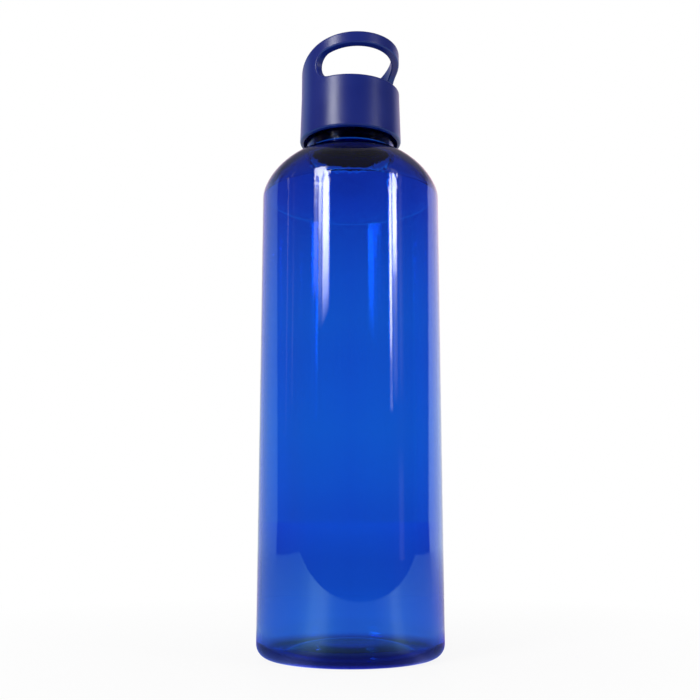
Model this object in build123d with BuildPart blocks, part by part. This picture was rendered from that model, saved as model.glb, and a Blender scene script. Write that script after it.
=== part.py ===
"""One-litre clear water bottle with a screw cap that carries its own finger loop.

Millimetres, +Z up. The origin is the centre of the ring the bottle stands on.
The front of the carry loop faces -Y.
"""
import os
from math import acos, cos, hypot, pi, sin

from build123d import *

os.makedirs("parts", exist_ok=True)

# ---- bottle body -----------------------------------------------------------
BODY_R = 40.0  # straight wall of the bottle
WALL = 2.0  # wall of the body, shoulder and neck
FOOT_OUT_R = 34.3  # outer edge of the flat ring the bottle stands on
FOOT_IN_R = 30.6  # inner edge of that ring
HEEL_H = 5.7  # height of the rounded outer corner of the base
PUSH_UP_H = 4.0  # height of the domed underside above the floor
FLOOR_H = 6.2  # height of the inside floor on the axis
FLOOR_MID_R = 24.0  # the inside floor follows the dome at this radius
FLOOR_MID_H = 4.2
FLOOR_EDGE_R = 33.0  # where the inside floor turns up into the wall
FLOOR_EDGE_H = 2.0
INNER_HEEL_H = 6.9
GATE_R = 3.7  # round moulding gate left under the middle of the base
GATE_H = 1.3

SHOULDER_Z = 201.9  # where the straight wall turns into the shoulder
SHOULDER_REACH = 26.8  # half axes of the shoulder's oval
SHOULDER_RISE = 23.5
SHOULDER_FULLNESS = 1.63  # 2 would be a true ellipse, less is closer to a cone
SHOULDER_STEPS = 9

NECK_R = 20.4  # outside of the neck, the root of its thread
NECK_BORE_R = 18.8
NECK_TOP_Z = 250.1
NECK_ROOT_FILLET = 1.0
LIP_FILLET = 0.6

# ---- thread: right-handed, two starts --------------------------------------
LEAD = 8.0  # rise in one turn
STARTS = 2
THREAD_BITE = 0.4  # how far each thread is rooted into its own wall
ROOT_W = 2.1  # width of a thread at its wall
CREST_W = 1.0
NECK_CREST_R = 21.5
NECK_THREAD_Z = 234.0
NECK_THREAD_H = 9.0
CAP_CREST_R = 20.8
CAP_THREAD_Z = 232.0
CAP_THREAD_H = 8.0

# ---- cap and its carry loop ------------------------------------------------
RIM_R = 23.4  # outside of the cap at its open rim
RIM_Z = 228.5
RIM_ROUND = 1.2
DRAFT_TOP_Z = 251.0  # the skirt tapers up to here, then stands straight
CAP_R = 22.8
CAP_BORE_R = 21.8
CAP_TOP_BORE_R = 21.2  # the skirt is thicker inside, above the thread
CAP_STEP_Z = 246.0
CAP_BORE_CHAMFER = 0.5
DECK_Z = 253.3  # flat top of the cap, and floor of the pocket behind the loop
CEILING_Z = 251.8
PLUG_R = 17.5  # short collar under the ceiling that reaches into the neck
PLUG_WALL = 1.3
PLUG_Z = 247.6
LOOP_T = 3.6  # thickness of the loop's wall
SWEEP_Y = -34.0  # centre of the arc that cuts the loop's top, seen from the side
SWEEP_Z = 180.0
SWEEP_R = 95.0
WINDOW_R = 89.5  # underside of the band, concentric with its top
WINDOW_BACK_Y = -10.2  # centre of the window's rounded rear end
EDGE_ROUND = 0.9
INNER_ROUND = 0.5

# ---- sealing washer --------------------------------------------------------
SEAL_IN_R = 17.6
SEAL_OUT_R = 21.0
SEAL_TOP_Z = 251.75
SEAL_BOTTOM_Z = 250.15
SEAL_ROUND = 0.3


# The shoulder's oval is followed until it meets the neck.
SHOULDER_END = acos((1 - (BODY_R - NECK_R) / SHOULDER_REACH) ** (SHOULDER_FULLNESS / 2))


def shoulder_points(inset):
    """The shoulder's outline from the straight wall to the neck, moved inwards by inset."""
    points = []
    for step in range(SHOULDER_STEPS):
        turn = SHOULDER_END * step / (SHOULDER_STEPS - 1)
        r = BODY_R - SHOULDER_REACH * (1 - cos(turn) ** (2 / SHOULDER_FULLNESS))
        z = SHOULDER_Z + SHOULDER_RISE * sin(turn) ** (2 / SHOULDER_FULLNESS)
        out_r = cos(turn) ** (2 - 2 / SHOULDER_FULLNESS) / SHOULDER_REACH
        out_z = sin(turn) ** (2 - 2 / SHOULDER_FULLNESS) / SHOULDER_RISE
        size = hypot(out_r, out_z)
        points.append((r - inset * out_r / size, z - inset * out_z / size))
    return points


def thread(wall_r, crest_r, z0, height, phase):
    """One start of a trapezoidal thread, rooted in a wall of radius wall_r."""
    slope = (ROOT_W - CREST_W) / 2 / abs(crest_r - wall_r)
    root_r = wall_r + THREAD_BITE * (1 if crest_r < wall_r else -1)
    depth = crest_r - root_r
    root_half = CREST_W / 2 + slope * abs(depth)
    with BuildPart() as turn:
        with BuildLine():
            path = Helix(pitch=LEAD, height=height, radius=root_r, center=(0, 0, z0))
        with BuildSketch(Plane(origin=path @ 0, x_dir=(1, 0, 0), z_dir=path % 0)):
            Polygon(
                (0, -root_half),
                (depth, -CREST_W / 2),
                (depth, CREST_W / 2),
                (0, root_half),
                align=None,
            )
        sweep(path=path, is_frenet=True)
    return turn.part.rotate(Axis.Z, phase)


# ---- bottle body: one moulding with its threaded neck ----------------------
outer = shoulder_points(0)
inner = shoulder_points(WALL)
neck_root = outer[-1]
with BuildPart() as bottle_body:
    with BuildSketch(Plane.XZ) as half:
        with BuildLine():
            Line((FOOT_IN_R, 0), (FOOT_OUT_R, 0))
            EllipticalCenterArc(
                (FOOT_OUT_R, HEEL_H), BODY_R - FOOT_OUT_R, HEEL_H, start_angle=270, arc_size=90
            )
            Line((BODY_R, HEEL_H), (BODY_R, SHOULDER_Z))
            Spline(*outer)
            Polyline(
                neck_root,
                (NECK_R, NECK_TOP_Z),
                (NECK_BORE_R, NECK_TOP_Z),
                (NECK_BORE_R, neck_root[1] - WALL / 2),
                inner[-1],
            )
            Spline(*reversed(inner))
            Line((BODY_R - WALL, SHOULDER_Z), (BODY_R - WALL, INNER_HEEL_H))
            EllipticalCenterArc(
                (FLOOR_EDGE_R, INNER_HEEL_H),
                BODY_R - WALL - FLOOR_EDGE_R,
                INNER_HEEL_H - FLOOR_EDGE_H,
                start_angle=270,
                arc_size=90,
            )
            Spline(
                (FLOOR_EDGE_R, FLOOR_EDGE_H),
                (FLOOR_MID_R, FLOOR_MID_H),
                (0, FLOOR_H),
                tangents=[(-1, 0), (-1, 0)],
            )
            Polyline(
                (0, FLOOR_H),
                (0, PUSH_UP_H - GATE_H),
                (GATE_R, PUSH_UP_H - GATE_H),
                (GATE_R, PUSH_UP_H),
            )
            Spline((GATE_R, PUSH_UP_H), (FOOT_IN_R, 0), tangents=[(1, 0), (1, -0.5)])
        make_face()
        corners = half.vertices()
        fillet(corners.sort_by_distance(neck_root)[0], NECK_ROOT_FILLET)
        fillet(corners.sort_by_distance((NECK_R, NECK_TOP_Z))[0], LIP_FILLET)
        fillet(corners.sort_by_distance((NECK_BORE_R, NECK_TOP_Z))[0], LIP_FILLET)
        fillet(corners.sort_by_distance((NECK_BORE_R, neck_root[1] - WALL / 2))[0], NECK_ROOT_FILLET)
    revolve(axis=Axis.Z)
    for start in range(STARTS):
        add(thread(NECK_R, NECK_CREST_R, NECK_THREAD_Z, NECK_THREAD_H, 360 * start / STARTS))

bottle_body.part.label = "bottle_body"
export_step(bottle_body.part, "parts/bottle_body.step")

# ---- cap: skirt, inside thread and carry loop in one moulding --------------
# The moulding is built below and above the level of the window's rear end, so that
# the rounding of the window's edges runs smoothly from the deck up into the band.
loop_in_r = CAP_R - LOOP_T
loop_top_z = SWEEP_Z + SWEEP_R
window_end_r = (WINDOW_R**2 - (WINDOW_BACK_Y - SWEEP_Y) ** 2 - (DECK_Z - SWEEP_Z) ** 2) / (
    2 * (DECK_Z - SWEEP_Z + WINDOW_R)
)  # the rear end touches both the deck and the band's underside
window_mid_z = DECK_Z + window_end_r
window_rear = (WINDOW_BACK_Y + window_end_r, window_mid_z)
window_half = window_end_r * cos(pi / 4)
span = hypot(WINDOW_BACK_Y - SWEEP_Y, window_mid_z - SWEEP_Z)
window_touch = (
    SWEEP_Y + (WINDOW_BACK_Y - SWEEP_Y) * WINDOW_R / span,
    SWEEP_Z + (window_mid_z - SWEEP_Z) * WINDOW_R / span,
)


def window_edges(solid, wall_r):
    """Edges of the finger window where it breaks through the loop's wall of radius wall_r."""
    edges = solid.edges().filter_by(
        lambda e: e.geom_type != GeomType.LINE
        and DECK_Z - 0.1 < (e @ 0.5).Z
        and abs(hypot((e @ 0.5).X, (e @ 0.5).Y) - wall_r) < 0.05
    )
    return edges.filter_by(
        lambda e: e.bounding_box().max.Y < window_rear[0] + 0.1
        and (e.geom_type == GeomType.BSPLINE or wall_r == CAP_R and (e @ 0.5).Z < DECK_Z + 0.1)
    )


with BuildPart() as arch:
    with BuildSketch(Plane.XY.offset(window_mid_z)):
        Circle(CAP_R)
        Circle(loop_in_r, mode=Mode.SUBTRACT)
    extrude(amount=loop_top_z - window_mid_z)
    with BuildSketch(Plane.YZ):
        with BuildLine():
            Line((SWEEP_Y, window_mid_z), window_rear)
            RadiusArc(window_rear, window_touch, -window_end_r)
            RadiusArc(window_touch, (SWEEP_Y, SWEEP_Z + WINDOW_R), -WINDOW_R)
            Line((SWEEP_Y, SWEEP_Z + WINDOW_R), (SWEEP_Y, window_mid_z))
        make_face()
    extrude(amount=2 * CAP_R, both=True, mode=Mode.SUBTRACT)
    fillet(window_edges(arch, CAP_R), EDGE_ROUND)
    fillet(window_edges(arch, loop_in_r), INNER_ROUND)

with BuildPart() as cap:
    with BuildSketch(Plane.XZ) as half:
        Polygon(
            (0, CEILING_Z),
            (PLUG_R - PLUG_WALL, CEILING_Z),
            (PLUG_R - PLUG_WALL, PLUG_Z),
            (PLUG_R, PLUG_Z),
            (PLUG_R, CEILING_Z),
            (CAP_TOP_BORE_R, CEILING_Z),
            (CAP_TOP_BORE_R, CAP_STEP_Z),
            (CAP_BORE_R, CAP_STEP_Z - (CAP_BORE_R - CAP_TOP_BORE_R)),
            (CAP_BORE_R, RIM_Z),
            (RIM_R, RIM_Z),
            (CAP_R, DRAFT_TOP_Z),
            (CAP_R, window_mid_z),
            (loop_in_r, window_mid_z),
            (loop_in_r, DECK_Z),
            (0, DECK_Z),
            align=None,
        )
        corners = half.vertices()
        fillet(corners.sort_by_distance((RIM_R, RIM_Z))[0], RIM_ROUND)
        chamfer(corners.sort_by_distance((CAP_BORE_R, RIM_Z))[0], CAP_BORE_CHAMFER)
    revolve(axis=Axis.Z)
    with BuildSketch(Plane.YZ):
        with BuildLine():
            Line((SWEEP_Y, DECK_Z), (WINDOW_BACK_Y, DECK_Z))
            ThreePointArc(
                (WINDOW_BACK_Y, DECK_Z),
                (WINDOW_BACK_Y + window_half, window_mid_z - window_half),
                window_rear,
            )
            Polyline(window_rear, (SWEEP_Y, window_mid_z), (SWEEP_Y, DECK_Z))
        make_face()
    extrude(amount=2 * CAP_R, both=True, mode=Mode.SUBTRACT)
    fillet(window_edges(cap, CAP_R), EDGE_ROUND)
    fillet(window_edges(cap, loop_in_r), INNER_ROUND)
    add(arch.part)

    # the swept top falls from a high front to a low back
    with BuildSketch(Plane.YZ):
        with Locations((0, DECK_Z)):
            Rectangle(4 * CAP_R, 2 * CAP_R, align=(Align.CENTER, Align.MIN))
        with Locations((SWEEP_Y, SWEEP_Z)):
            Circle(SWEEP_R, mode=Mode.SUBTRACT)
    extrude(amount=2 * CAP_R, both=True, mode=Mode.SUBTRACT)
    swept_top = cap.faces().filter_by(
        lambda f: f.geom_type == GeomType.CYLINDER and f.radius == SWEEP_R
    )
    fillet(swept_top.edges(), EDGE_ROUND)

    for start in range(STARTS):
        add(thread(CAP_BORE_R, CAP_CREST_R, CAP_THREAD_Z, CAP_THREAD_H, 360 * start / STARTS))

cap.part.label = "cap"
export_step(cap.part, "parts/cap.step")

# ---- sealing washer under the cap's ceiling --------------------------------
with BuildPart() as seal_ring:
    with BuildSketch(Plane.XZ) as half:
        with Locations(((SEAL_IN_R + SEAL_OUT_R) / 2, (SEAL_TOP_Z + SEAL_BOTTOM_Z) / 2)):
            Rectangle(SEAL_OUT_R - SEAL_IN_R, SEAL_TOP_Z - SEAL_BOTTOM_Z)
        fillet(half.vertices(), SEAL_ROUND)
    revolve(axis=Axis.Z)

seal_ring.part.label = "seal_ring"
export_step(seal_ring.part, "parts/seal_ring.step")
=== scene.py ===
import math

import bpy
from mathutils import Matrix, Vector

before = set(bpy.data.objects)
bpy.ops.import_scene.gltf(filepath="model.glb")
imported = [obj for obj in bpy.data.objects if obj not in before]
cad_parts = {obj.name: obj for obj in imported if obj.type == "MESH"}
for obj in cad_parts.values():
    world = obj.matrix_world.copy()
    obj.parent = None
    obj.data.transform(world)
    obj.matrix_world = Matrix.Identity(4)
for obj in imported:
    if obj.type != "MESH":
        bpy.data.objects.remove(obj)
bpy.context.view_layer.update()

# A clear blue bottle with a matte navy screw cap, on a pale floor in soft studio light.
# Lengths are in metres, in the CAD's frame.

# ---- where the camera stands -----------------------------------------------
VIEW_TURN = math.radians(-37.0)  # round the bottle, from the front of the cap's loop
CAMERA_DISTANCE = 0.420  # from the bottle's axis
CAMERA_HEIGHT = 0.060
CAMERA_PITCH = math.radians(9.695)  # upwards
CAMERA_NEAR = 0.01
LENS = 48.93  # millimetres, as is the sensor's width
SENSOR = 36.0
SHIFT_RIGHT = -0.0007  # places the bottle in the picture as the photo does
SHIFT_UP = 0.0004
LOOK_DIR = Vector((-math.sin(VIEW_TURN), math.cos(VIEW_TURN), 0.0))  # from camera to bottle
LOOK_RIGHT = Vector((math.cos(VIEW_TURN), math.sin(VIEW_TURN), 0.0))

# ---- node helpers ----------------------------------------------------------
MIX_A, MIX_B, MIX_RESULT = 6, 7, 2  # the colour sockets of Blender's Mix node
WHITE = (1.0, 1.0, 1.0)


class Nodes:
    """A node tree with short calls for adding and joining nodes."""

    def __init__(self, tree):
        self.tree = tree
        tree.nodes.clear()

    def add(self, kind, operation=None):
        node = self.tree.nodes.new(kind)
        if operation:
            node.operation = operation
        return node

    def link(self, source, target):
        self.tree.links.new(source, target)

    def math(self, operation, a, b=None, clamp=False):
        node = self.add("ShaderNodeMath", operation)
        node.use_clamp = clamp
        for socket, value in zip(node.inputs, (a, b)):
            if isinstance(value, (int, float)):
                socket.default_value = value
            elif value is not None:
                self.link(value, socket)
        return node.outputs[0]

    def dot(self, vector, fixed):
        node = self.add("ShaderNodeVectorMath", "DOT_PRODUCT")
        self.link(vector, node.inputs[0])
        node.inputs[1].default_value = fixed
        return node.outputs["Value"]

    def multiply(self, a, b):
        node = self.add("ShaderNodeVectorMath", "MULTIPLY")
        self.link(a, node.inputs[0])
        self.link(b, node.inputs[1])
        return node.outputs["Vector"]

    def length(self, vector):
        node = self.add("ShaderNodeVectorMath", "LENGTH")
        self.link(vector, node.inputs[0])
        return node.outputs["Value"]

    def unit(self, vector):
        node = self.add("ShaderNodeVectorMath", "NORMALIZE")
        self.link(vector, node.inputs[0])
        return node.outputs["Vector"]

    def split(self, vector):
        node = self.add("ShaderNodeSeparateXYZ")
        self.link(vector, node.inputs[0])
        return node.outputs

    def place(self, scale=(1, 1, 1)):
        """Object coordinates, stretched by scale."""
        mapping = self.add("ShaderNodeMapping")
        mapping.inputs["Scale"].default_value = scale
        coords = self.add("ShaderNodeTexCoord").outputs["Object"]
        self.link(coords, mapping.inputs["Vector"])
        return mapping.outputs["Vector"]

    def noise(self, per_metre, detail, roughness, vector):
        node = self.add("ShaderNodeTexNoise")
        node.inputs["Scale"].default_value = per_metre
        node.inputs["Detail"].default_value = detail
        node.inputs["Roughness"].default_value = roughness
        self.link(vector, node.inputs["Vector"])
        return node.outputs["Fac"]

    def ramp(self, value, low, high, out_low=0.0, out_high=1.0):
        """A straight rise or fall from low to high, level outside them."""
        node = self.add("ShaderNodeMapRange")
        node.inputs["From Min"].default_value = low
        node.inputs["From Max"].default_value = high
        node.inputs["To Min"].default_value = out_low
        node.inputs["To Max"].default_value = out_high
        self.link(value, node.inputs["Value"])
        return node.outputs["Result"]

    def bump(self, height, strength, distance, normal=None):
        node = self.add("ShaderNodeBump")
        node.inputs["Strength"].default_value = strength
        node.inputs["Distance"].default_value = distance
        self.link(height, node.inputs["Height"])
        if normal is not None:
            self.link(normal, node.inputs["Normal"])
        return node.outputs["Normal"]

    def colours(self, value, stops):
        """A colour ramp from grey or coloured stops."""
        node = self.add("ShaderNodeValToRGB")
        self.link(value, node.inputs[0])
        band = node.color_ramp
        while len(band.elements) < len(stops):
            band.elements.new(0.5)
        for element, (position, colour) in zip(band.elements, stops):
            element.position = position
            element.color = (*colour, 1.0) if isinstance(colour, tuple) else (colour,) * 3 + (1.0,)
        return node.outputs[0]

    def mix_colour(self, share, a, b):
        node = self.add("ShaderNodeMix")
        node.data_type = "RGBA"
        self.link(share, node.inputs["Factor"])
        for index, colour in ((MIX_A, a), (MIX_B, b)):
            if isinstance(colour, tuple):
                node.inputs[index].default_value = (*colour, 1.0)
            else:
                self.link(colour, node.inputs[index])
        return node.outputs[MIX_RESULT]

    def glow(self, colour):
        node = self.add("ShaderNodeEmission")
        self.link(colour, node.inputs["Color"])
        return node.outputs[0]

    def mix_shader(self, share, a, b):
        node = self.add("ShaderNodeMixShader")
        for source, socket in zip((share, a, b), node.inputs):
            self.link(source, socket)
        return node.outputs[0]

    def ray(self, kind):
        return self.add("ShaderNodeLightPath").outputs[kind]

    def mirror_ray(self):
        """1 for a ray that a surface mirrored, 0 for one seen straight or through plastic."""
        glossy, clear = self.ray("Is Glossy Ray"), self.ray("Is Transmission Ray")
        return self.math("SUBTRACT", glossy, clear, clamp=True)


# ---- materials -------------------------------------------------------------
NOISE_MIDDLE = (0.3, 0.7)  # most values of a noise lie in here
NOISE_SPAN = (0.25, 0.75)

NECK_FROM = 0.2238  # from its root upwards the neck shows no glint
NECK_FADE = 0.0005
NECK_ROUGHNESS = 0.10
SMEAR_SPAN = (0.35, 0.75)  # the noise values between which a smear comes up
SMEAR_ROUGHNESS = 0.035
RIPPLE_FROM = 0.190  # fine ripples cover the lower part of the rounded shoulder
RIPPLE_FULL = 0.203
RIPPLE_TO = 0.211
CLEAR_IOR = 1.56
TINT = (0.0, 0.614, 0.936)  # what is absorbed is the rest of white
TINT_DENSITY = 1500.0

NAVY_DARK = (0.0015, 0.0100, 0.138)
NAVY_LIGHT = (0.0030, 0.0130, 0.158)
NAVY_SMOOTHEST = 0.29
NAVY_ROUGHEST = 0.35
NAVY_IOR = 1.49

MILKY_DARK = (0.60, 0.62, 0.65)
MILKY_LIGHT = (0.70, 0.72, 0.74)
MILKY_SMOOTHEST = 0.42
MILKY_ROUGHEST = 0.60
MILKY_SOFTNESS = 0.2
MILKY_DEPTH = 0.002  # how far light wanders in the silicone


def material(name):
    """A new material and the parts of its tree: nodes, shader and output."""
    made = bpy.data.materials.new(name)
    made.use_nodes = True
    nodes = Nodes(made.node_tree)
    out = nodes.add("ShaderNodeOutputMaterial")
    shader = nodes.add("ShaderNodeBsdfPrincipled")
    nodes.link(shader.outputs["BSDF"], out.inputs["Surface"])
    return made, nodes, shader, out


def clear_blue():
    """Clear tinted plastic: the colour comes from the depth of material the light crosses."""
    made, n, shader, out = material("clear_blue_plastic")
    shader.inputs["Base Color"].default_value = (*WHITE, 1.0)
    shader.inputs["IOR"].default_value = CLEAR_IOR
    shader.inputs["Transmission Weight"].default_value = 1.0
    tint = n.add("ShaderNodeVolumeAbsorption")
    tint.inputs["Color"].default_value = (*TINT, 1.0)
    tint.inputs["Density"].default_value = TINT_DENSITY
    n.link(tint.outputs["Volume"], out.inputs["Volume"])

    height = n.split(n.place())["Z"]
    glint = n.ramp(height, NECK_FROM, NECK_FROM + NECK_FADE, 1.0, 0.0)
    n.link(glint, shader.inputs["Specular Tint"])
    neck_blur = n.ramp(glint, 0.0, 1.0, NECK_ROUGHNESS, 0.0)
    smear = n.noise(per_metre=38.0, detail=3.0, roughness=0.55, vector=n.place((1, 1, 0.35)))
    smear_blur = n.ramp(smear, *SMEAR_SPAN, 0.0, SMEAR_ROUGHNESS)
    n.link(n.math("MAXIMUM", smear_blur, neck_blur), shader.inputs["Roughness"])

    flow = n.noise(per_metre=9.0, detail=1.0, roughness=0.4, vector=n.place((1, 1, 0.18)))
    waves = n.bump(flow, strength=0.08, distance=0.0015)
    from_below = n.ramp(height, RIPPLE_FROM, RIPPLE_FULL)
    from_above = n.ramp(height, RIPPLE_FULL, RIPPLE_TO, 1.0, 0.0)
    fine = n.noise(per_metre=240.0, detail=2.0, roughness=0.55, vector=n.place((1, 1, 0.6)))
    ripple = n.math("MULTIPLY", fine, n.math("MULTIPLY", from_below, from_above))
    n.link(n.bump(ripple, strength=0.22, distance=0.0006, normal=waves), shader.inputs["Normal"])
    return made


def matte_navy():
    """Opaque plastic with the fine texture of its mould and a slightly cloudy colour."""
    made, n, shader, _ = material("matte_navy_plastic")
    shader.inputs["IOR"].default_value = NAVY_IOR
    cloud = n.noise(per_metre=60.0, detail=3.0, roughness=0.5, vector=n.place())
    colour = n.mix_colour(n.ramp(cloud, *NOISE_MIDDLE), NAVY_DARK, NAVY_LIGHT)
    n.link(colour, shader.inputs["Base Color"])
    roughness = n.ramp(cloud, *NOISE_SPAN, NAVY_SMOOTHEST, NAVY_ROUGHEST)
    n.link(roughness, shader.inputs["Roughness"])
    grain = n.noise(per_metre=2600.0, detail=2.0, roughness=0.6, vector=n.place())
    n.link(n.bump(grain, strength=0.12, distance=0.0002), shader.inputs["Normal"])
    return made


def silicone():
    """Milky rubber with a fine speckle."""
    made, n, shader, _ = material("milky_silicone")
    shader.inputs["Subsurface Weight"].default_value = MILKY_SOFTNESS
    shader.inputs["Subsurface Radius"].default_value = (MILKY_DEPTH,) * 3
    speck = n.noise(per_metre=900.0, detail=3.0, roughness=0.6, vector=n.place())
    n.link(n.mix_colour(speck, MILKY_DARK, MILKY_LIGHT), shader.inputs["Base Color"])
    roughness = n.ramp(speck, *NOISE_MIDDLE, MILKY_SMOOTHEST, MILKY_ROUGHEST)
    n.link(roughness, shader.inputs["Roughness"])
    n.link(n.bump(speck, strength=0.1, distance=0.0002), shader.inputs["Normal"])
    return made


def dress(node, made):
    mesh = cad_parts[node].data
    mesh.materials.clear()
    mesh.materials.append(made)
    for polygon in mesh.polygons:
        polygon.material_index = 0


dress("bottle_body", clear_blue())
dress("cap", matte_navy())
dress("seal_ring", silicone())

# ---- the room that the plastic mirrors -------------------------------------
# Colours by degrees round the bottle from the camera, right positive.
ROOM = (
    (-180, (0.80, 0.86, 0.90)),
    (-158, (0.70, 0.80, 0.85)),
    (-145, (0.68, 0.86, 1.10)),
    (-122, (0.47, 0.88, 1.00)),
    (-101.5, (0.40, 0.85, 1.25)),
    (-99.5, (0.11, 0.12, 0.15)),
    (-70, 0.13),
    (-50, 0.10),
    (0, 0.08),
    (50, 0.09),
    (62, 0.12),
    (75, 0.08),
    (110, 0.08),
    (113, (0.95, 1.40, 1.90)),
    (130, (1.08, 1.40, 1.60)),
    (145, (1.12, 1.35, 1.40)),
    (158, (0.95, 1.00, 1.10)),
    (180, (0.80, 0.86, 0.90)),
)
ROOM_TILT = 0.5  # the bright far side narrows with height

# Painted reflection: the colours the floor glows with where the plastic mirrors it, as a table
# under it, in the same degrees; the bright stops between -51 and -21 degrees and between 42 and 60
# degrees are painted sheen of the lamps on that table.
PAINTED_TABLE_REFLECTION = (
    (-180, (0.75, 0.70, 0.85)),
    (-152, (0.62, 0.60, 0.80)),
    (-138, (0.42, 0.60, 0.78)),
    (-122, (0.42, 0.72, 0.90)),
    (-108, (0.36, 0.78, 0.95)),
    (-90, (0.35, 0.85, 1.00)),
    (-62, (0.38, 0.95, 1.10)),
    (-51, (0.50, 1.25, 1.30)),
    (-43, (0.80, 1.85, 1.90)),
    (-32, (0.90, 1.90, 1.95)),
    (-27, (0.75, 1.60, 1.70)),
    (-21, (0.42, 1.00, 1.10)),
    (-14, (0.30, 0.68, 0.90)),
    (0, (0.26, 0.55, 0.80)),
    (25, (0.26, 0.55, 0.80)),
    (36, (0.38, 0.75, 0.95)),
    (42, (0.48, 1.00, 1.10)),
    (48, (0.84, 1.60, 1.60)),
    (54, (0.80, 1.55, 1.50)),
    (60, (0.52, 1.10, 1.20)),
    (72, (0.42, 0.90, 1.00)),
    (98, (0.38, 0.75, 0.90)),
    (110, (0.46, 0.72, 0.90)),
    (122, (0.56, 0.68, 0.90)),
    (145, (0.58, 0.55, 0.72)),
    (180, (0.62, 0.58, 0.70)),
)
TABLE_FRONT = 0.335  # where the table ends in front of the bottle
FRONT_SOFT = 0.008
TABLE_SLANT = 0.2  # its front edge comes nearer to the right
TABLE_SIDE = 1.05
SIDE_SOFT = 0.04
# painted shade: the mirrored table is dimmed by this close to the bottle
TABLE_PAINTED_SHADE = (0.38, 0.25, 0.80)  # its colour is dimmed by this close to the bottle
SHADE_SPAN = (0.07, 0.12)  # distances over which that shade ends
TABLE_SPAN = (0.4, 3.0)  # distances over which the table gives way to the room
TABLE_SPAN_BEHIND = (0.25, 1.3)  # the same behind the bottle
BEHIND_SPAN = (0.25, 0.60)  # a direction is behind when it points this far from the camera


def around_bottle(n, direction):
    """The angle of a level direction, from the camera's side, right positive."""
    return n.math("ARCTAN2", n.dot(direction, LOOK_RIGHT), n.dot(direction, -LOOK_DIR))


def by_angle(n, around, stops):
    turned = n.ramp(around, -math.pi, math.pi)
    return n.colours(turned, [((degrees + 180) / 360, colour) for degrees, colour in stops])


def room(n, direction, height):
    """The colour mirrored from a level direction; height is the sine of its elevation."""
    around = around_bottle(n, direction)
    lean = n.math("MULTIPLY", n.math("SIGN", around), n.math("MULTIPLY", height, ROOM_TILT))
    return by_angle(n, n.math("SUBTRACT", around, lean), ROOM)


# ---- what is seen through the plastic --------------------------------------
FLOOR_R = 6.0
THROUGH_FROM = math.log10(0.03)
THROUGH_TO = math.log10(FLOOR_R)
# painted light: the floor glows with these colours where it is seen through the plastic; the
# darkest stops are a painted shadow under and just around the bottle
PAINTED_FLOOR_THROUGH = (  # by distance from the bottle's axis
    (0.042, (0.02, 0.03, 0.10)),
    (0.050, (0.25, 0.25, 0.45)),
    (0.060, (0.72, 0.78, 0.86)),
    (0.16, (0.72, 0.76, 0.86)),
    (0.25, (0.68, 0.69, 0.82)),
    (0.40, (0.62, 0.60, 0.75)),
    (0.80, (0.60, 0.56, 0.74)),
    (2.00, (0.65, 0.62, 0.83)),
    (4.00, (0.67, 0.67, 0.90)),
)
TENT_THROUGH = (  # by the sine of the elevation
    (0.00, (0.80, 0.69, 0.92)),
    (0.033, (0.90, 0.83, 0.98)),
    (0.085, (0.95, 0.96, 1.00)),
    (0.12, (0.95, 0.90, 1.00)),
    (0.16, (0.90, 0.83, 0.97)),
    (0.20, (0.90, 0.89, 0.96)),
    (0.24, (0.80, 0.77, 0.93)),
    (0.28, (0.60, 0.58, 0.81)),
    (0.32, (0.37, 0.355, 0.66)),
    (0.36, (0.28, 0.28, 0.56)),
    (0.55, (0.05, 0.05, 0.12)),
)
LIFT_FULL = 0.19  # how far sideways from the view's middle the lift is full
LIFT_BLUE = 1.04
FLOOR_LIFT_GREEN = 1.15
TENT_LIFT_GREEN = 1.5


def sideways(n, direction):
    return n.math("ABSOLUTE", n.dot(direction, LOOK_RIGHT))


def side_lift(n, colour, direction, green):
    """The colour seen through the plastic, a little brighter away from the middle."""
    away = n.ramp(sideways(n, direction), 0.0, LIFT_FULL)
    return n.multiply(colour, n.mix_colour(away, WHITE, (1.0, green, LIFT_BLUE)))


# painted light: the glow of the floor seen through the plastic, with its painted shadow under the
# bottle
def painted_floor_through(n, reach, outward):
    logarithm = n.math("LOGARITHM", reach, 10.0)
    span = THROUGH_TO - THROUGH_FROM
    stops = [((math.log10(away) - THROUGH_FROM) / span, tint) for away, tint in PAINTED_FLOOR_THROUGH]
    colour = n.colours(n.ramp(logarithm, THROUGH_FROM, THROUGH_TO), stops)
    return side_lift(n, colour, outward, FLOOR_LIFT_GREEN)


# ---- floor -----------------------------------------------------------------
FLOOR_AROUND = 96
FLOOR_GREY = (0.90, 0.90, 0.90)
FLOOR_ROUGHNESS = 0.45
FLOOR_SPECULAR = 0.2
FADE_SPAN = (0.045, 0.30)  # distances over which the floor fades into the white of the tent
FADE_AT_BOTTLE = 0.90  # the share of that white where the fade begins


def floor_disc():
    turn = 2 * math.pi / FLOOR_AROUND
    ring = [
        (FLOOR_R * math.cos(turn * i), FLOOR_R * math.sin(turn * i), 0.0)
        for i in range(FLOOR_AROUND)
    ]
    mesh = bpy.data.meshes.new("floor")
    mesh.from_pydata(ring, [], [list(range(FLOOR_AROUND))])
    piece = bpy.data.objects.new("floor", mesh)
    bpy.context.scene.collection.objects.link(piece)
    return piece


def floor_plain(n, shader, reach, outward):
    """The floor as it is seen straight, a white glow lit a little by the lamps near the bottle,
    and through the plastic, where it glows with painted light and a painted shadow under the
    bottle.
    """
    shader.inputs["Base Color"].default_value = (*FLOOR_GREY, 1.0)
    shader.inputs["Roughness"].default_value = FLOOR_ROUGHNESS
    shader.inputs["Specular IOR Level"].default_value = FLOOR_SPECULAR
    through = painted_floor_through(n, reach, outward)
    far = n.glow(n.mix_colour(n.ray("Is Transmission Ray"), WHITE, through))
    fade = n.ramp(reach, *FADE_SPAN, FADE_AT_BOTTLE, 1.0)
    return n.mix_shader(fade, shader.outputs[0], far)


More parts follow.
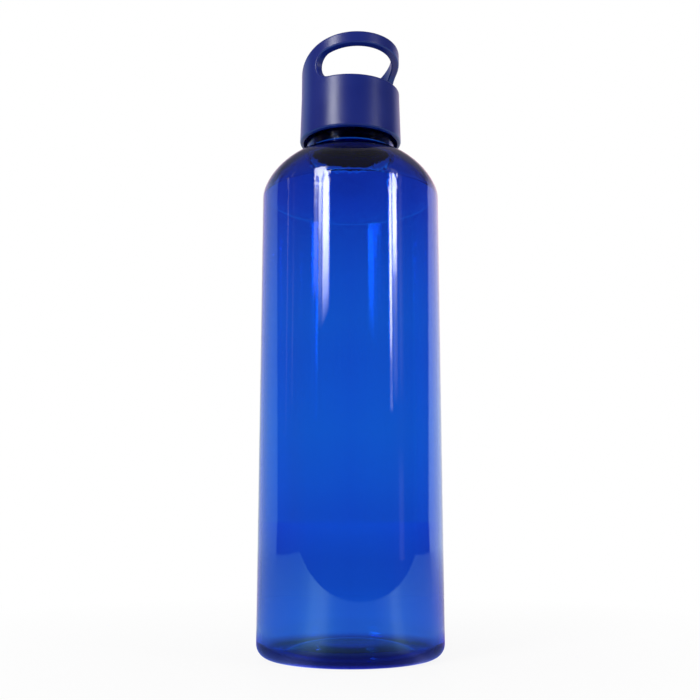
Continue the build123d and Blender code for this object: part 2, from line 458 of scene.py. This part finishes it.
def floor_mirrored(n, coords, reach, outward):
    """What the plastic mirrors of the floor, painted as a glow: a dim table with painted sheen of
    the lamps and painted shade close to the bottle, and the room's far side beyond.
    """
    beyond = room(n, outward, 0.0)
    across = n.dot(coords, LOOK_RIGHT)
    ahead = n.math("ADD", n.dot(coords, -LOOK_DIR), n.math("MULTIPLY", across, TABLE_SLANT))
    in_front = n.ramp(ahead, TABLE_FRONT - FRONT_SOFT, TABLE_FRONT + FRONT_SOFT, 1.0, 0.0)
    off_axis = n.math("ABSOLUTE", across)
    inside = n.ramp(off_axis, TABLE_SIDE - SIDE_SOFT, TABLE_SIDE + SIDE_SOFT, 1.0, 0.0)
    # painted shade on the mirrored table close to the bottle
    shade = n.mix_colour(n.ramp(reach, *SHADE_SPAN), TABLE_PAINTED_SHADE, WHITE)
    lit = n.multiply(by_angle(n, around_bottle(n, outward), PAINTED_TABLE_REFLECTION), shade)
    behind = n.ramp(n.dot(outward, LOOK_DIR), *BEHIND_SPAN)
    sooner = n.math("MULTIPLY", n.ramp(reach, *TABLE_SPAN_BEHIND), behind)
    fading = n.math("MAXIMUM", n.ramp(reach, *TABLE_SPAN), sooner)
    table = n.mix_colour(fading, lit, beyond)
    return n.glow(n.mix_colour(n.math("MULTIPLY", in_front, inside), beyond, table))


def floor():
    """A wide pale disc under the bottle."""
    piece = floor_disc()
    made, n, shader, out = material("pale_floor")
    coords = n.add("ShaderNodeTexCoord").outputs["Object"]
    reach = n.length(coords)
    outward = n.unit(coords)
    plain = floor_plain(n, shader, reach, outward)
    mirrored = floor_mirrored(n, coords, reach, outward)
    n.link(n.mix_shader(n.mirror_ray(), plain, mirrored), out.inputs["Surface"])
    piece.data.materials.append(made)


floor()

# ---- tent ------------------------------------------------------------------
# Heights are sines of elevation; other directions are given by how far they point that way.
CEILING_SPAN = (0.42, 0.62)  # heights over which the mirrored room gives way to a dim ceiling
CEILING = (0.16, 0.16, 0.14)
ROOM_IN_CEILING = 0.08  # the share of the room's colour that is left there
LOWER_ON_RIGHT = 0.13
GREYER = (1.15, 0.76, 0.86)  # turns the room's colour towards grey
GREYER_SPAN = (0.10, 0.36)  # heights over which it does
INSIDE_WALL = (0.50, 0.38, 0.50)  # dims light that was mirrored inside the wall
UNDIMMED_SPAN = (0.12, 0.30)  # how far sideways that dimming ends
FAR_SIDE_SPAN = (-0.05, 0.20)  # how far from the camera the far side begins
DIFFUSE_SHARE = 0.45  # of the tent's light, on matte surfaces


def tent_mirrored(n, coords, height):
    """A room, bright on its far side only, under a dim ceiling."""
    towards_right = n.ramp(n.dot(coords, LOOK_RIGHT), 0.0, 1.0, 0.0, LOWER_ON_RIGHT)
    tilted = n.math("ADD", height, towards_right)
    lit = n.ramp(tilted, *CEILING_SPAN, 1.0, ROOM_IN_CEILING)
    greyer = n.mix_colour(n.ramp(height, *GREYER_SPAN), WHITE, GREYER)
    return n.mix_colour(lit, CEILING, n.multiply(room(n, coords, height), greyer))


def tent_through(n, coords, height, mirrored):
    """The far side behind the plastic; light that was mirrored inside the wall sees less of
    it, and the mirrored room on the camera's side."""
    straight = n.ramp(n.ray("Glossy Depth"), 0.0, 1.0, 1.0, 0.0)
    full = n.math("MAXIMUM", straight, n.ramp(sideways(n, coords), *UNDIMMED_SPAN))
    graded = side_lift(n, n.colours(height, TENT_THROUGH), coords, TENT_LIFT_GREEN)
    behind = n.multiply(graded, n.mix_colour(full, INSIDE_WALL, WHITE))
    facing = n.ramp(n.dot(coords, LOOK_DIR), *FAR_SIDE_SPAN)
    return n.mix_colour(n.math("MAXIMUM", facing, straight), mirrored, behind)


def tent():
    """The surroundings: white seen straight, graded through the plastic, and a dim room
    with a bright far side where the plastic mirrors them."""
    world = bpy.data.worlds.new("tent")
    bpy.context.scene.world = world
    world.use_nodes = True
    n = Nodes(world.node_tree)
    out = n.add("ShaderNodeOutputWorld")
    sky = n.add("ShaderNodeBackground")
    n.link(sky.outputs[0], out.inputs["Surface"])
    coords = n.add("ShaderNodeTexCoord").outputs["Generated"]
    height = n.split(coords)["Z"]
    mirrored = tent_mirrored(n, coords, height)
    through = tent_through(n, coords, height, mirrored)
    seen = n.mix_colour(n.ray("Is Transmission Ray"), WHITE, through)
    n.link(n.mix_colour(n.mirror_ray(), seen, mirrored), sky.inputs["Color"])
    strength = n.ramp(n.ray("Is Diffuse Ray"), 0.0, 1.0, 1.0, DIFFUSE_SHARE)
    n.link(strength, sky.inputs["Strength"])


tent()

# ---- lights ----------------------------------------------------------------
LAMP_NEAR = 0.9  # from the bottle's axis
EDGE_SOFT = 0.25  # share of a lamp's width over which each side fades
LEFT = -36  # where lamps stand, in degrees from the camera's side, right positive
RIGHT = 57
RIGHT_LOW = 63
FAR_LEFT = -85.5
FAR_LEFT_DIM = -76
TOP_FROM = 0.54  # height where the two tall windows of light give way to their upper parts


def softbox(name, turn, start, end, glows, slant=0.0, soft=EDGE_SOFT):
    """A tall soft lamp. It faces the bottle, turned by degrees from the camera's side (right
    positive), and covers start to end sideways from there. glows lists (height, brightness)
    from its foot up; slant raises the right side's pattern by that many metres."""
    angle = math.radians(turn)
    outward = -LOOK_DIR * math.cos(angle) + LOOK_RIGHT * math.sin(angle)
    along = LOOK_RIGHT * math.cos(angle) + LOOK_DIR * math.sin(angle)
    middle = outward * LAMP_NEAR + along * (start + end) / 2
    low, high = glows[0][0], glows[-1][0]
    peak = max(brightness for _, brightness in glows)

    data = bpy.data.lights.new(name, "AREA")
    data.shape = "RECTANGLE"
    data.size = end - start
    data.size_y = high - low
    data.energy = peak * math.pi * data.size * data.size_y
    data.use_nodes = True
    n = Nodes(data.node_tree)
    out = n.add("ShaderNodeOutputLight")
    glow = n.add("ShaderNodeEmission")
    n.link(glow.outputs[0], out.inputs["Surface"])
    on_lamp = n.split(n.add("ShaderNodeNewGeometry").outputs["Parametric"])
    across = on_lamp["X"]
    raised = n.math("MULTIPLY", across, slant / (high - low))
    column = n.colours(
        n.math("SUBTRACT", on_lamp["Y"], raised),
        [((z - low) / (high - low), brightness / peak) for z, brightness in glows],
    )
    left_side = n.ramp(across, 0.0, soft)
    right_side = n.ramp(across, 1.0 - soft, 1.0, 1.0, 0.0)
    sides = n.math("MULTIPLY", left_side, right_side)
    n.link(n.math("MULTIPLY", column, sides), glow.inputs["Strength"])

    lamp = bpy.data.objects.new(name, data)
    bpy.context.scene.collection.objects.link(lamp)
    lamp.location = Vector((middle.x, middle.y, (low + high) / 2))
    lamp.rotation_euler = outward.to_track_quat("Z", "Y").to_euler()
    lamp.visible_camera = False


softbox(
    "left",
    turn=LEFT,
    start=0.0,
    end=0.170,
    glows=(
        (0.30, 0), (0.325, 3.5), (0.340, 6.5), (0.354, 8), (0.368, 11.5), (0.396, 15),
        (0.43, 20), (TOP_FROM, 20),
    ),
    slant=0.03,
)
softbox(
    "left_middle",
    turn=LEFT,
    start=-0.075,
    end=0.012,
    glows=(
        (0.30, 0), (0.34, 1.0), (0.368, 2.5), (0.424, 3.7), (0.445, 7.5), (0.473, 11),
        (0.50, 16), (TOP_FROM, 16),
    ),
)
softbox(
    "left_side",
    turn=LEFT,
    start=-0.172,
    end=-0.068,
    glows=(
        (0.34, 0), (0.37, 0.8), (0.42, 1.8), (0.473, 2.4), (0.494, 7.0), (0.52, 17),
        (TOP_FROM, 17),
    ),
)
softbox(
    "left_top",
    turn=LEFT,
    start=-0.25,
    end=0.10,
    glows=((TOP_FROM, 16), (0.90, 13), (1.05, 4), (1.12, 0)),
    soft=0.3,
)
softbox(
    "right",
    turn=RIGHT,
    start=-0.135,
    end=-0.065,
    glows=(
        (0.19, 0), (0.20, 1.8), (0.235, 1.3), (0.26, 2.3), (0.29, 9), (0.34, 14), (0.39, 18),
        (0.48, 18), (TOP_FROM, 6),
    ),
    soft=0.3,
)
softbox(
    "right_middle",
    turn=RIGHT,
    start=-0.070,
    end=0.052,
    glows=(
        (0.20, 0), (0.235, 0.6), (0.315, 1.2), (0.373, 3.5), (0.40, 13), (0.44, 20), (0.49, 18),
        (TOP_FROM, 7),
    ),
)
softbox(
    "right_side",
    turn=RIGHT,
    start=0.04,
    end=0.19,
    glows=((0.20, 0), (0.26, 0.3), (0.40, 0.5), (0.60, 0.4)),
    soft=0.5,
)
softbox(
    "right_top",
    turn=RIGHT,
    start=-0.06,
    end=0.16,
    glows=((TOP_FROM, 4), (0.58, 1.0), (0.95, 0.7), (1.10, 0)),
    soft=0.3,
)
softbox(
    "right_low",
    turn=RIGHT_LOW,
    start=-0.07,
    end=0.07,
    glows=((0.0, 0.22), (0.10, 0.22), (0.15, 0)),
)
softbox(
    "far_left",
    turn=FAR_LEFT,
    start=-0.02,
    end=0.02,
    glows=((0.16, 0.1), (0.30, 0.35), (0.40, 0.6), (0.50, 0.9), (0.90, 0.9)),
    soft=0.4,
)
softbox(
    "far_left_dim",
    turn=FAR_LEFT_DIM,
    start=-0.025,
    end=0.025,
    glows=((0.20, 0.1), (0.28, 0.3), (0.36, 0.3), (0.42, 0.12), (0.60, 0.1)),
    soft=0.4,
)

# ---- camera ----------------------------------------------------------------
camera_data = bpy.data.cameras.new("camera")
camera_data.lens = LENS
camera_data.sensor_width = SENSOR
camera_data.dof.use_dof = False
camera_data.clip_start = CAMERA_NEAR
camera_data.shift_x = SHIFT_RIGHT
camera_data.shift_y = SHIFT_UP
camera = bpy.data.objects.new("camera", camera_data)
bpy.context.scene.collection.objects.link(camera)
camera.location = -LOOK_DIR * CAMERA_DISTANCE + Vector((0, 0, CAMERA_HEIGHT))
camera.rotation_mode = "QUATERNION"
gaze = LOOK_DIR * math.cos(CAMERA_PITCH) + Vector((0, 0, math.sin(CAMERA_PITCH)))
camera.rotation_quaternion = gaze.to_track_quat("-Z", "Y")
bpy.context.scene.camera = camera
bpy.context.scene.view_settings.view_transform = "Standard"
